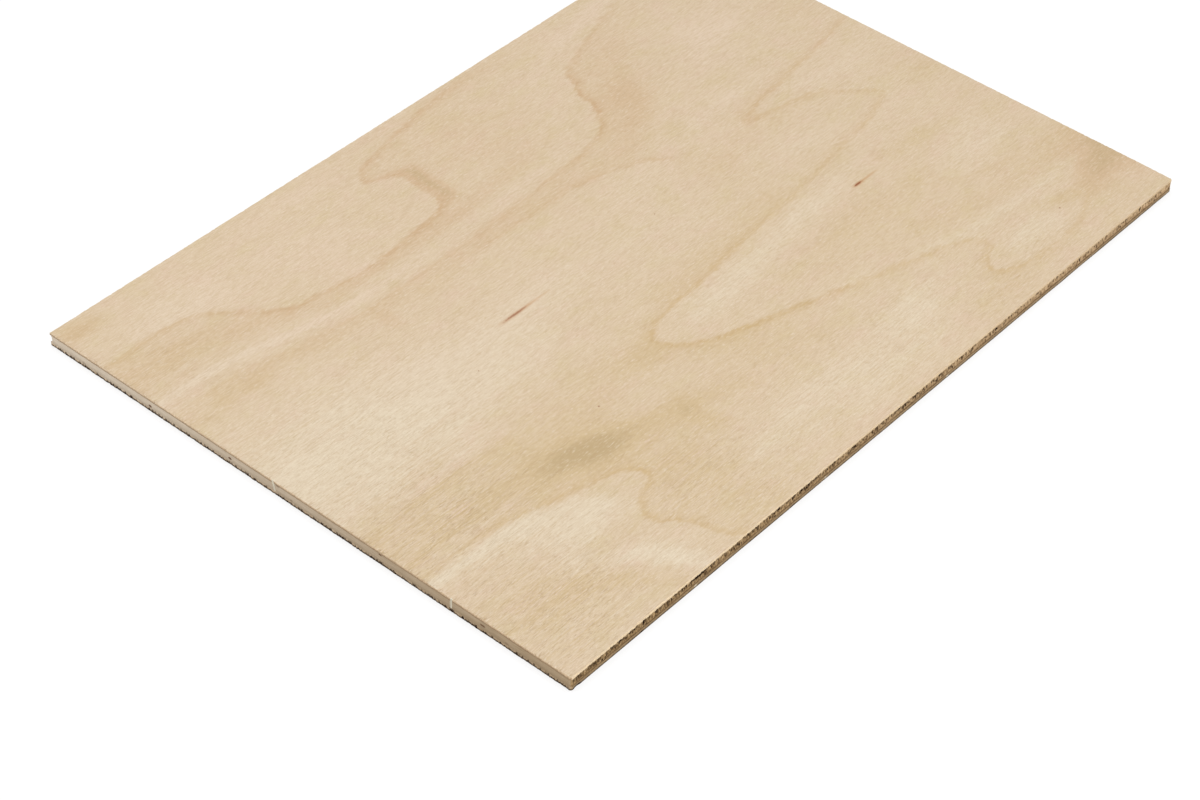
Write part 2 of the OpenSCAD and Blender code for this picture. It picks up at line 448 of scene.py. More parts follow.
def pitted_end_grain(relief, edges, seed, band, gap, size, depth):
    """End grain: ragged bundles of fibres, and pits and leaning cracks about gap apart, in
    a band of heights and most often near its favoured one: (low, favoured, high). The right
    edge's far half has fewer."""
    o, rng = relief.outline, np.random.default_rng(seed)
    fibres = lattice_noise(relief.place, relief.z, 0.45, 1.3, seed)
    bundles = lattice_noise(relief.place, relief.z, 2.6, 2.0, seed + 1)
    relief.inset += relief.on(*edges) * (0.10 * fibres + 0.10 * bundles)
    for edge in edges:
        span = o.place[o.edge == edge]
        place = span.min()
        while place < span.max():
            spread = 1 + 1.2 * smooth_step(place, -10.0, 70.0) if edge == RIGHT else 1
            place += spread * (rng.exponential(0.5 * gap) + 0.25 * gap)
            z = rng.triangular(*band)
            half_w = size * rng.uniform(0.5, 1.0)
            half_h = half_w * rng.uniform(1.2, 3.6)
            lean = rng.uniform(-0.4, 0.1)
            relief.pit(edge, place, z, half_w, half_h, depth * rng.uniform(0.3, 1.0),
                       lean=lean, dark=rng.uniform(0.45, 1.0))


def torn_foot(relief, edges, seed):
    """Tears that run up from the foot of a side-grain wall, dark with painted shade."""
    o, rng = relief.outline, np.random.default_rng(seed)
    for edge in edges:
        span = o.place[o.edge == edge]
        place = span.min()
        while place < span.max():
            place += rng.uniform(0.4, 2.4)
            relief.pit(edge, place, FACE_LOW[2], rng.uniform(0.15, 0.4),
                       rng.uniform(0.12, 0.36), 0.2, dark=rng.uniform(0.3, 0.8))


def core_relief(outline, heights):
    """Pitted end grain on the right and left, smooth long grain near and far."""
    relief = Relief(outline, heights)
    low, high = CORE_LOW[2], CORE_HIGH[2]
    pitted_end_grain(relief, (RIGHT, LEFT), 11, (low + 0.8, high - 0.4, high), 1.7, 0.34, 0.8)
    pitted_end_grain(relief, (RIGHT, LEFT), 23, (low, low + 1.2, high), 0.75, 0.24, 0.5)
    for y, z, half_l, half_h, depth in CORE_HOLLOWS:
        relief.pit(RIGHT, y, z, half_l, half_h, depth)
    # the left edge has crumbled back between the outer veneers, most in the middle
    middle = 1 - ((relief.z - (low + high) / 2) / ((high - low) / 2)) ** 2
    crumble = 0.6 + 0.8 * lattice_noise(relief.place, relief.z, 5.0, 9.0, 31)
    relief.inset += relief.on(LEFT) * (0.35 * middle * crumble - 0.25)
    sawn = lattice_noise(relief.place, relief.z, 6.0, 0.4, 37)
    relief.inset += relief.on(NEAR, FAR) * 0.05 * sawn
    for nick in NICKS:
        relief.nick(*nick)
    for x, z, half_w, half_h, strength in CORE_STAINS:
        relief.mark("stain", NEAR, x, z, half_w, half_h, strength)
    return relief


def back_relief(outline, heights):
    """Pitted end grain near and far, and long grain with a chipped foot on the right."""
    relief = Relief(outline, heights)
    low, high = BACK_LOW[2], BACK_HIGH[2]
    pitted_end_grain(relief, (NEAR, FAR), 41, (low, low + 0.2, high - 0.5), 0.8, 0.32, 0.25)
    streaks = lattice_noise(relief.place, relief.z, 7.0, 0.3, 43)
    relief.inset += relief.on(RIGHT, LEFT) * (0.06 * streaks)
    for y, z, half_l, half_h in PALE_CHIPS:
        relief.mark("fresh", RIGHT, y, z, half_l, half_h, 0.6)
    for y, z, half_l, half_h in DARK_CHIPS:
        relief.pit(RIGHT, y, z, half_l, half_h, 0.3)
    return relief


def face_relief(outline, heights):
    """Fine end grain near and far, and long grain torn at its foot on the right and left."""
    relief = Relief(outline, heights)
    fibres = lattice_noise(relief.place, relief.z, 0.4, 2.0, 51)
    relief.inset += relief.on(NEAR, FAR) * 0.08 * fibres
    streaks = lattice_noise(relief.place, relief.z, 7.0, 0.3, 53)
    relief.inset += relief.on(RIGHT, LEFT) * 0.05 * streaks
    torn_foot(relief, (RIGHT, LEFT), 57)
    for nick in NICKS:
        relief.nick(*nick)
    return relief


def arris(outline, seed, wear, corner_wear, corner_reach):
    """How much of each outline point's arris is worn away: (height, depth) in millimetres.
    wear gives, for each edge, the height of the smooth wear, the height of the torn
    notches, and the depth as a share of the height. corner_wear is added at the right-hand
    corners, and fades out at corner_reach from them."""
    wave = lattice_noise(outline.place, outline.edge, 8.0, 1.0, seed)
    chips = lattice_noise(outline.place, outline.edge, 0.9, 1.0, seed + 1)
    splinters = lattice_noise(outline.place, outline.edge, 0.35, 1.0, seed + 2)
    torn = smooth_step(chips, 0.5, 0.9) * (0.3 + 0.7 * splinters)
    smooth, notches, set_back = (np.array([wear[e][k] for e in outline.edge]) for k in range(3))
    height = smooth * (0.5 + 0.5 * wave) + notches * torn
    from_corner = np.hypot(outline.x - outline.x1,
                           np.minimum(outline.y - NEAR_Y, FAR_Y - outline.y))
    height += corner_wear * (1 - smooth_step(from_corner, 0.2 * corner_reach, corner_reach))
    return height, set_back * height


# ---- the mesh of a veneer

CORNER_FALLOFF = 4.0  # how far along the next edge a sharp corner's inset is spread
RIM_GAP = 1.2  # from a cap's straight ring to its grid


def wall_points(relief):
    """Where the wall's points are, as arrays of x and y by row and outline point."""
    outline, inset = relief.outline, np.maximum(relief.inset, 0)
    x = outline.x - outline.nx * inset
    y = outline.y - outline.ny * inset
    near, far, left = (np.flatnonzero(outline.edge == e) for e in (NEAR, FAR, LEFT))
    # at the two sharp corners each edge's inset moves the end of the next one
    for columns, corner in ((near, left[-1]), (far, left[0])):
        fade = np.clip(1 - (outline.x[columns] - outline.x[left[0]]) / CORNER_FALLOFF, 0, 1)
        x[:, columns] += inset[:, corner][:, None] * fade
    for corner, sign in ((near[0], 1), (far[-1], -1)):
        off = (outline.y[left] - outline.y[corner]) * sign
        fade = np.clip(1 - off / CORNER_FALLOFF, 0, 1)
        y[:, left] += sign * inset[:, corner][:, None] * fade
    return x, y


def zip_loops(outer, outer_at, inner, inner_at):
    """Triangles between two loops of vertices that go round the sheet side by side."""
    faces, i, j = [], 0, 0
    n, m = len(outer), len(inner)
    while i < n or j < m:
        next_outer = outer_at[i + 1] if i + 1 < n else math.inf
        next_inner = inner_at[j + 1] if j + 1 < m else math.inf
        if j >= m or (i < n and next_outer <= next_inner):
            faces.append((outer[i], outer[(i + 1) % n], inner[j % m]))
            i += 1
        else:
            faces.append((outer[i % n], inner[(j + 1) % m], inner[j]))
            j += 1
    return faces


def grid_cap(x0, x1, margin, cell, z):
    """A flat grid of points and quads, its rim counter-clockwise from above, and how far
    round the sheet each point of the rim is."""
    xs = np.linspace(x0 + margin, x1 - margin, math.ceil((x1 - x0) / cell) + 1)
    ys = np.linspace(NEAR_Y + margin, FAR_Y - margin, math.ceil((FAR_Y - NEAR_Y) / cell) + 1)
    nx, ny = len(xs), len(ys)
    gx, gy = np.meshgrid(xs, ys)
    points = np.stack([gx.ravel(), gy.ravel(), np.full(nx * ny, z)], axis=1)
    index = np.arange(nx * ny).reshape(ny, nx)
    quads = np.stack([index[:-1, :-1], index[:-1, 1:], index[1:, 1:], index[1:, :-1]], axis=-1)
    rim = np.concatenate([index[0], index[1:, -1], index[-1, -2::-1], index[-2:0:-1, 0]])
    progress = np.concatenate([xs, LAP + ys[1:], 2 * LAP - xs[-2::-1], 3 * LAP - ys[-2:0:-1]])
    return points, quads.reshape(-1, 4), rim, progress


# A bake map's strips, as shares of its width: an outer face, a glued one, and the walls.
OUTER_SHARE, GLUED_SHARE, WALL_SHARES = 0.9, 0.02, (0.02, 0.02, 0.02, 0.02)
CORE_SHARES = (0.12, 0.12, 0.16, 0.22, 0.16, 0.22)
STRIP_GAP, STRIP_END = 0.0015, 0.002  # what stays free beside each strip, and at its ends
FLAT, SIDE, END = range(3)  # the material slots: flat faces, long-grain and end-grain walls
FACING_END = 0.7  # a wall is end grain where its normal lies this much along the grain
FIGURED_CELL, HIDDEN_CELL = 1.25, 20.0  # grids of the outer faces and of the glued ones


def veneer_rings(low, high, relief, foot, top, rim_depth):
    """The rings of points round a veneer: in the face below, at its edge, up the wall, at
    the upper face's edge, and in that face."""
    outline, heights = relief.outline, relief.heights
    share = ((heights - heights[0]) / (heights[-1] - heights[0]))[:, None]
    z = (low[2] + foot[0]) * (1 - share) + (high[2] - top[0]) * share
    x, y = wall_points(relief)
    in_x, in_y = outline.stepped_in(rim_depth)

    def flat_ring(ring_x, ring_y, ring_z):
        return np.stack([ring_x, ring_y, np.full(outline.length, ring_z)], axis=1)

    return [flat_ring(in_x, in_y, low[2]),
            flat_ring(x[0] - outline.nx * foot[1], y[0] - outline.ny * foot[1], low[2]),
            *(np.stack(row, axis=1) for row in zip(x, y, z)),
            flat_ring(x[-1] - outline.nx * top[1], y[-1] - outline.ny * top[1], high[2]),
            flat_ring(in_x, in_y, high[2])]


def build_veneer(name, low, high, relief, foot, top, cells, rim_depth, end_axis, shares):
    """A veneer's closed mesh. foot and top are the arris wear below and above, cells the
    sizes of the two caps' grids, rim_depth more than any hollow's depth, end_axis the axis
    that the grain runs along, and shares the widths of its bake map's strips."""
    outline = relief.outline
    rings = veneer_rings(low, high, relief, foot, top, rim_depth)
    n, last = outline.length, len(rings) - 1
    column = np.arange(n)
    after = (column + 1) % n
    quads = [np.stack([r * n + column, r * n + after, (r + 1) * n + after, (r + 1) * n + column],
                      axis=1) for r in range(last)]
    faces = np.concatenate(quads).tolist()
    facing_end = np.abs(outline.ny if end_axis == "y" else outline.nx) > FACING_END
    wall_slots = np.where(facing_end, END, SIDE).tolist()
    # a glued face shows only as a ledge of the wall
    rims = [wall_slots if cell == HIDDEN_CELL else [FLAT] * n for cell in cells]
    slots = rims[0] + wall_slots * (last - 2) + rims[1]
    strips = [np.full(n, 0), *[2 + SIDE_OF_EDGE[outline.edge]] * (last - 2), np.full(n, 1)]
    points, count = [np.concatenate(rings)], len(rings) * n
    for upward, (z, ring, cell) in enumerate(((low[2], 0, cells[0]), (high[2], last, cells[1]))):
        cap, cap_quads, rim, progress = grid_cap(
            outline.x0, outline.x1, rim_depth + RIM_GAP, cell, z)
        cap_faces = (cap_quads + count).tolist()
        cap_faces += zip_loops((ring * n + column).tolist(), outline.progress,
                               (rim + count).tolist(), progress)
        if not upward:
            cap_faces = [face[::-1] for face in cap_faces]
        faces += cap_faces
        slots += [FLAT] * len(cap_faces)
        strips.append(np.full(len(cap_faces), upward))
        points.append(cap)
        count += len(cap)
    points = np.concatenate(points)
    mesh = bpy.data.meshes.new(name)
    mesh.from_pydata((points * MM).tolist(), [], faces)
    mesh.polygons.foreach_set("material_index", slots)
    mesh.polygons.foreach_set("use_smooth", [slot != FLAT for slot in slots])
    add_looks(mesh, relief, count)
    add_bake_map(mesh, points, np.concatenate(strips), shares)
    mesh.update()
    piece = bpy.data.objects.new(name, mesh)
    bpy.context.scene.collection.objects.link(piece)
    return piece, points


def add_looks(mesh, relief, count):
    """How hollow, fresh or stained each of the mesh's vertices looks. The wall's arrises
    look as the wall does, and the faces have no marks."""
    for look, field in relief.looks.items():
        blank = np.zeros((1, relief.outline.length))
        spread = np.concatenate([blank, field[:1], field, field[-1:], blank]).ravel()
        values = np.zeros(count)
        values[: len(spread)] = spread
        add_attribute(mesh, look, values)


def add_bake_map(mesh, points, strips, shares):
    """A UV map for baking, in six upright strips: the face below, the face above, and the
    near, right, far and left walls. strips gives each polygon's strip, and shares the
    strips' widths."""
    corners = np.zeros(len(mesh.loops), dtype=int)
    mesh.loops.foreach_get("vertex_index", corners)
    sizes = np.zeros(len(mesh.polygons), dtype=int)
    mesh.polygons.foreach_get("loop_total", sizes)
    strip = np.repeat(strips, sizes)
    low, high = points.min(axis=0), points.max(axis=0)
    x, y, z = ((points - low) / (high - low))[corners].T
    across = np.where(strip < 2, x, z)
    along = np.where((strip == 2) | (strip == 4), x, y)
    starts = np.concatenate([[0], np.cumsum(shares)])[strip]
    u = starts + STRIP_GAP + across * (np.array(shares)[strip] - 2 * STRIP_GAP)
    v = STRIP_END + along * (1 - 2 * STRIP_END)
    layer = mesh.uv_layers.new(name="OFBake")
    layer.data.foreach_set("uv", np.stack([u, v], axis=1).ravel())


def add_attribute(mesh, name, values):
    """A number for each vertex, which the materials read by name."""
    mesh.attributes.new(name, "FLOAT", "POINT").data.foreach_set("value", values)


def add_figure(piece, points, outer_z, rings, bands, patches, streaks):
    """The wood's figure, at each vertex of a veneer's outer face."""
    on_face = np.flatnonzero(np.abs(points[:, 2] - outer_z) < 0.01)
    fields = {}
    # a few vertices at a time, to spare memory
    for part in np.array_split(on_face, 8):
        found = figure(points[part, 0], points[part, 1], rings, bands, patches, streaks)
        for name, values in found.items():
            fields.setdefault(name, np.zeros(len(points)))[part] = values
    for name, values in fields.items():
        add_attribute(piece.data, name, values)


# ---- materials


class Shader:
    """A material's nodes, with a short call for each kind that the woods use. Coordinates
    are the sheet's own, in millimetres."""

    def __init__(self, name):
        self.material = bpy.data.materials.new(name)
        self.material.use_nodes = True
        self.tree = self.material.node_tree
        self.surface = self.tree.nodes["Principled BSDF"]
        place = self.tree.nodes.new("ShaderNodeTexCoord").outputs["Object"]
        self.place = self.vector("SCALE", place, scale=1 / MM)

    def put(self, socket, value):
        """Links an output to a socket, or sets a plain value there."""
        if isinstance(value, bpy.types.NodeSocket):
            self.tree.links.new(value, socket)
        else:
            socket.default_value = value

    def vector(self, operation, a, b=None, scale=None):
        node = self.tree.nodes.new("ShaderNodeVectorMath")
        node.operation = operation
        self.put(node.inputs[0], a)
        if b is not None:
            self.put(node.inputs[1], b)
        if scale is not None:
            node.inputs["Scale"].default_value = scale
        return node.outputs["Value" if operation == "LENGTH" else "Vector"]

    def math(self, operation, a, b=0.0, clamp=False):
        node = self.tree.nodes.new("ShaderNodeMath")
        node.operation = operation
        node.use_clamp = clamp
        self.put(node.inputs[0], a)
        self.put(node.inputs[1], b)
        return node.outputs[0]

    def attribute(self, name):
        node = self.tree.nodes.new("ShaderNodeAttribute")
        node.attribute_name = name
        return node.outputs["Fac"]

    def noise(self, cell, shift=(0.0, 0.0, 0.0), detail=2.0, rough=0.5):
        """Noise from 0 to 1 with cells of that size, in millimetres along x, y and z."""
        stretched = self.vector("MULTIPLY", self.place, tuple(1 / c for c in cell))
        node = self.tree.nodes.new("ShaderNodeTexNoise")
        node.inputs["Scale"].default_value = 1.0
        node.inputs["Detail"].default_value = detail
        node.inputs["Roughness"].default_value = rough
        self.put(node.inputs["Vector"], self.vector("ADD", stretched, shift))
        return node.outputs["Fac"]

    def rise(self, value, start, end, low=0.0, high=1.0):
        """A smooth change from low to high as value goes from start to end."""
        node = self.tree.nodes.new("ShaderNodeMapRange")
        node.interpolation_type = "SMOOTHSTEP"
        limits = {"From Min": start, "From Max": end, "To Min": low, "To Max": high}
        for name, number in limits.items():
            node.inputs[name].default_value = number
        self.put(node.inputs["Value"], value)
        return node.outputs["Result"]

    def mix(self, share, a, b, blend="MIX"):
        """Colours a and b, blended by share."""
        node = self.tree.nodes.new("ShaderNodeMix")
        node.data_type = "RGBA"
        node.blend_type = blend
        self.put(node.inputs["Factor"], share)
        self.put(node.inputs["A"], colour(a))
        self.put(node.inputs["B"], colour(b))
        return node.outputs["Result"]

    def along(self, axis):
        """The place along x, y or z, in millimetres."""
        node = self.tree.nodes.new("ShaderNodeSeparateXYZ")
        self.put(node.inputs[0], self.place)
        return node.outputs[axis.upper()]

    def way_along(self, axis):
        """How far along x or y a point is, smoothly from 0 at the sheet's low end to 1."""
        ends = (LEFT_X, RIGHT_X) if axis == "x" else (NEAR_Y, FAR_Y)
        return self.rise(self.along(axis), *ends)

    def sway(self, value, amount):
        """Noise as a change either way, by up to that amount."""
        return self.rise(value, 0.3, 0.7, -amount, amount)

    def oval(self, x, y, half_w, half_l):
        """The distance from (x, y), which is 1 all round an oval of that size."""
        off = self.vector("SUBTRACT", self.place, (x, y, 0.0))
        return self.vector("LENGTH", self.vector("MULTIPLY", off, (1 / half_w, 1 / half_l, 0.0)))

    def finish(self, base, rough, height, depth, sheen):
        """Puts the colour, roughness, a relief of that depth in millimetres, and the sheen,
        on the surface."""
        self.put(self.surface.inputs["Base Color"], base)
        self.put(self.surface.inputs["Roughness"], rough)
        self.surface.inputs["Specular IOR Level"].default_value = sheen
        bump = self.tree.nodes.new("ShaderNodeBump")
        bump.inputs["Strength"].default_value = 1.0
        bump.inputs["Distance"].default_value = depth * MM
        self.put(bump.inputs["Height"], height)
        self.put(self.surface.inputs["Normal"], bump.outputs["Normal"])
        return self.material


STUDIO_LIGHT = 1.3  # how much brighter than its own colour the sheet's face looks here


def linear(red, green, blue):
    """A wood's own colour in linear light, from how it looks on the lit face, 0 to 255."""
    def one(level):
        share = level / 255
        bright = share / 12.92 if share <= 0.04045 else ((share + 0.055) / 1.055) ** 2.4
        return bright / STUDIO_LIGHT
    return (one(red), one(green), one(blue), 1.0)


def colour(value):
    """A socket as it is, and a looked-at colour in linear light."""
    return value if isinstance(value, bpy.types.NodeSocket) else linear(*value)


CREAM, PINK_PALE, COOL_PALE = (225, 204, 175), (232, 210, 187), (234, 219, 194)
RED_TAN, OLIVE_TAN, DARK_OLIVE = (217, 189, 156), (215, 191, 151), (196, 172, 130)
RING_RED, RING_OLIVE = (202, 162, 118), (204, 172, 116)
KNOT_BROWN, KNOT_TAIL = (142, 76, 40), (198, 148, 100)
PINK, STRAW = (226, 202, 176), (221, 201, 166)
PORE_BROWN, GLINT, FELT_BROWN = (186, 154, 112), (238, 222, 200), (198, 170, 132)
# The fresh wood's pale colour is brightened with painted light, against the shade inside the
# nicks.
# The hollows' dark brown is painted shade in the walls' pits, cracks, tears and chips, and a
# little way round them.
HOLLOW_SHADE_BROWN, FRESH_WOOD_AND_LIGHT, STAIN_BROWN = (40, 20, 6), (255, 248, 226), (108, 70, 40)
FOOT_SHADE_BROWN, CRACK_BROWN = (70, 52, 34), (112, 84, 54)
OPEN_PORE, PALE_FUZZ = (84, 60, 36), (232, 206, 168)

# The walls' colours: a pair where the wall starts, along its axis, and a pair where it ends. Long
# grain has (pale, tan) in a pair, and end grain (tan, brown). The change from start to end is
# partly the wood's own and partly painted light, brighter where a wall is better lit, as on the
# near end's left.
FACE_SIDE = ((246, 224, 190), (234, 208, 170)), ((228, 202, 166), (212, 184, 146))
FACE_END = ((244, 220, 188), (220, 192, 158)), ((236, 208, 172), (208, 178, 142))
CORE_SIDE = ((246, 231, 209), (228, 210, 186)), ((208, 184, 152), (182, 156, 122))
CORE_END = ((194, 162, 116), (104, 78, 46)), ((230, 198, 156), (170, 138, 100))
BACK_SIDE = ((196, 170, 132), (146, 120, 84)), ((204, 178, 142), (156, 130, 96))
BACK_END = ((255, 234, 206), (226, 202, 172)), ((218, 192, 158), (186, 158, 124))
# What shades an end-grain wall: a colour, and the heights where it starts and is full.
FACE_SHADE = (150, 112, 80), (4.7, 4.3)
CORE_SHADE = (150, 118, 80), (2.2, 1.2)
BACK_SHADE = (190, 162, 128), (1.2, 0.35)


def edge_marks(s, base):
    """Adds painted shade along the sheet's foot to a wall's colour, and the marks that the mesh
    carries: stains, fresh wood, brightened with painted light in the nicks, and hollows, dark with
    painted shade."""
    # painted shade: walls darken below about 0.8 mm above the floor, along a wavering line
    foot_shade_wobble = s.noise((1.6, 1.6, 0.5), (4.0, 2.0, 8.0), detail=3.0)
    foot = s.math("ADD", s.along("z"), s.sway(foot_shade_wobble, 0.15))
    base = s.mix(s.rise(foot, 0.8, 0.25, 0.0, 0.9), base, FOOT_SHADE_BROWN)
    base = s.mix(s.attribute("stain"), base, STAIN_BROWN)
    base = s.mix(s.attribute("fresh"), base, FRESH_WOOD_AND_LIGHT)
    return s.mix(s.attribute("hollow"), base, HOLLOW_SHADE_BROWN)


def ring_lines(s, base, ring_colour):
    """Draws the growth rings' thin lines, sharper on the early-wood side."""
    shake = s.noise((1.4, 5.0, 1.4), (2.0, 11.0, 0.0), detail=3.0)
    wander = s.rise(shake, 0.25, 0.75, -0.8, 0.8)
    breaks = s.rise(s.noise((3.0, 7.0, 3.0), (8.0, 1.0, 0.0)), 0.3, 0.62, 0.45, 1.0)
    for parity in "01":
        gap = s.math("ADD", s.attribute("ring_gap" + parity), wander)
        line = s.math("MULTIPLY", s.rise(gap, -1.0, 0.0), s.rise(gap, 0.2, 1.7, 0.24, 0.0))
        glow = s.math("MULTIPLY", s.rise(gap, -2.0, 0.0), s.rise(gap, 0.4, 4.5, 0.26, 0.0))
        line = s.math("MULTIPLY", s.math("ADD", line, glow), s.attribute("ring_strength" + parity))
        base = s.mix(s.math("MULTIPLY", line, breaks, clamp=True), base, ring_colour)
    return base


def pin_knot(s, base, ragged, x, y, half_w, half_l, darkness, tail):
    """A small dark knot with a soft brown halo and tail along the grain."""
    trail = s.oval(x, y + 0.5 * tail, 1.5 * half_w, tail)
    base = s.mix(s.rise(trail, 1.0, 0.1, 0.0, 0.5 * darkness), base, KNOT_TAIL)
    halo = s.oval(x, y, 2.2 * half_w, 1.5 * half_l)
    base = s.mix(s.rise(halo, 1.0, 0.2, 0.0, 0.6 * darkness), base, KNOT_TAIL)
    middle = s.math("ADD", s.oval(x, y, half_w, half_l), s.sway(ragged, 0.25))
    return s.mix(s.rise(middle, 1.0, 0.3, 0.0, 0.9 * darkness), base, KNOT_BROWN)


def wood_colours(s, x_shift, y_shift):
    """The wood's cream, pale, tan and ring colours. It is redder on the left and in the
    far right corner, and more olive on the right and near."""
    red_corner = s.rise(s.oval(x_shift + 84.0, y_shift + 148.0, 26.0, 34.0), 1.0, 0.4)
    near_olive = s.rise(s.along("y"), -80.0, -130.0, 0.0, 0.5)
    olive = s.math("ADD", s.rise(s.along("x"), -70.0, 30.0), near_olive)
    olive = s.math("SUBTRACT", olive, red_corner, clamp=True)
    blush = s.noise((7, 12, 7), (x_shift + 1, y_shift + 2, 7.0), detail=3.0, rough=0.6)
    cream = s.mix(s.rise(blush, 0.5, 0.28), CREAM, STRAW)
    cream = s.mix(s.rise(blush, 0.5, 0.72), cream, PINK)
    blends = (PINK_PALE, COOL_PALE), (RED_TAN, OLIVE_TAN), (RING_RED, RING_OLIVE)
    return cream, *(s.mix(olive, red, green) for red, green in blends)


def wood_tone(s, x_shift, y_shift, cloud):
    """The mesh's tone, over 0 in late wood, with clouds, long streaks and mottling."""
    wide = s.noise((2.6, 75, 2.6), (x_shift + 3, y_shift, 0.0), detail=2.0, rough=0.6)
    thin = s.noise((0.45, 18, 0.45), (x_shift + 6, y_shift, 2.0), detail=3.0, rough=0.65)
    mottle = s.noise((1.0, 2.0, 1.0), (x_shift, y_shift + 4, 1.0), detail=3.0, rough=0.6)
    streaks = s.math("ADD", s.sway(wide, 0.4), s.sway(thin, 0.7))
    streaks = s.math("MULTIPLY", streaks, s.math("ADD", s.attribute("streak"), 0.15))
    tone = s.attribute("tone")
    for change in (s.sway(cloud, 0.22), streaks, s.sway(mottle, 0.26)):
        tone = s.math("ADD", tone, change)
    return tone


def veneer_face(name, shift, knots, specks):
    """The flat face of a rotary-cut veneer: soft rings, fine pores along the grain, pin knots."""
    s = Shader(name)
    x_shift, y_shift = shift
    cream, pale, tan, ring_colour = wood_colours(s, x_shift, y_shift)
    cloud = s.noise((11, 30, 11), (x_shift, y_shift, 3.0), detail=3.0)
    tone = wood_tone(s, x_shift, y_shift, cloud)
    base = s.mix(s.rise(tone, 0.0, -1.6), cream, pale)
    base = s.mix(s.rise(tone, 0.0, 1.6), base, tan)
    base = s.mix(s.rise(tone, 1.3, 3.2), base, DARK_OLIVE)
    base = ring_lines(s, base, ring_colour)
    # fine grain along y: soft fibres, and short dark pores and pale glints, most of them
    # where the near end is torn
    fibres = s.noise((0.32, 3.6, 0.32), (x_shift, y_shift, 5.0), detail=2.0, rough=0.6)
    base = s.mix(s.rise(fibres, 0.35, 0.75, 0.0, 0.34), base, PORE_BROWN)
    torn = s.rise(s.along("y"), NEAR_Y + 1.6, NEAR_Y, 0.0, 1.6)
    dashes = s.noise((0.30, 2.4, 0.30), (x_shift + 9, 2.0, 5.0), detail=2.0, rough=0.6)
    where = s.math("ADD", s.rise(cloud, 0.3, 0.7, 0.35, 0.7), s.attribute("streak"))
    dark = s.math("MULTIPLY", s.rise(dashes, 0.52, 0.74), s.math("ADD", where, torn))
    base = s.mix(s.math("MULTIPLY", dark, 0.36, clamp=True), base, PORE_BROWN)
    glints = s.noise((0.34, 2.0, 0.34), (x_shift + 20, 9.0, 5.0), detail=2.0, rough=0.6)
    glint = s.math("MULTIPLY", s.rise(glints, 0.52, 0.76), s.math("ADD", torn, 1.0))
    base = s.mix(s.math("MULTIPLY", glint, 0.55, clamp=True), base, GLINT)
    felt = s.noise((0.42, 0.7, 0.42), (x_shift, 1.0, 6.0), detail=3.0, rough=0.65)
    base = s.mix(s.rise(felt, 0.3, 0.7, 0.0, 0.25), base, FELT_BROWN)
    for knot in knots:
        base = pin_knot(s, base, felt, *knot)
    for x, y, radius in specks:
        speck = s.oval(x, y, radius, 1.3 * radius)
        base = s.mix(s.rise(speck, 1.0, 0.4, 0.0, 0.75), base, KNOT_BROWN)
    height = s.math("SUBTRACT", s.math("MULTIPLY", felt, 0.5), s.math("MULTIPLY", dark, 0.8))
    return s.finish(base, s.rise(dashes, 0.3, 0.7, 0.56, 0.70), height, 0.05, 0.3)


def side_grain(name, axis, colours, crack_size, cracked):
    """A sawn wall that shows the grain lengthways, along that axis, darker low down.
    cracked is how dark its cracks are."""
    s = Shader(name)
    # the colours change along the wall, partly as the wood's own change and partly as painted
    # light
    pale, tan = (s.mix(s.way_along(axis), *ends) for ends in zip(*colours))
    cell = (9.0, 0.5, 0.16) if axis == "x" else (0.5, 9.0, 0.16)
    streak = s.noise(cell, detail=3.0, rough=0.6)
    patch = s.noise((7, 7, 1.6), (5.0, 5.0, 0.0), detail=3.0)
    base = s.mix(s.rise(streak, 0.3, 0.7), pale, tan)
    base = s.mix(s.rise(patch, 0.35, 0.7, 0.0, 0.5), base, tan)
    fuzz = s.noise((0.3, 0.3, 0.3), (1.0, 2.0, 3.0), detail=3.0, rough=0.7)
    base = s.mix(s.rise(fuzz, 0.5, 0.8, 0.0, 0.35), base, FELT_BROWN)
    crack = s.noise(crack_size, (7.0, 8.0, 9.0), detail=3.0, rough=0.6)
    base = s.mix(s.rise(crack, 0.48, 0.66, 0.0, cracked), base, CRACK_BROWN)
    base = s.mix(s.rise(s.along("z"), 3.0, 1.5, 0.0, 0.25), base, CRACK_BROWN)
    base = edge_marks(s, base)
    height = s.math("ADD", s.math("MULTIPLY", streak, 0.6), s.math("MULTIPLY", fuzz, 0.6))
    return s.finish(base, s.rise(fuzz, 0.3, 0.7, 0.68, 0.82), height, 0.08, 0.12)


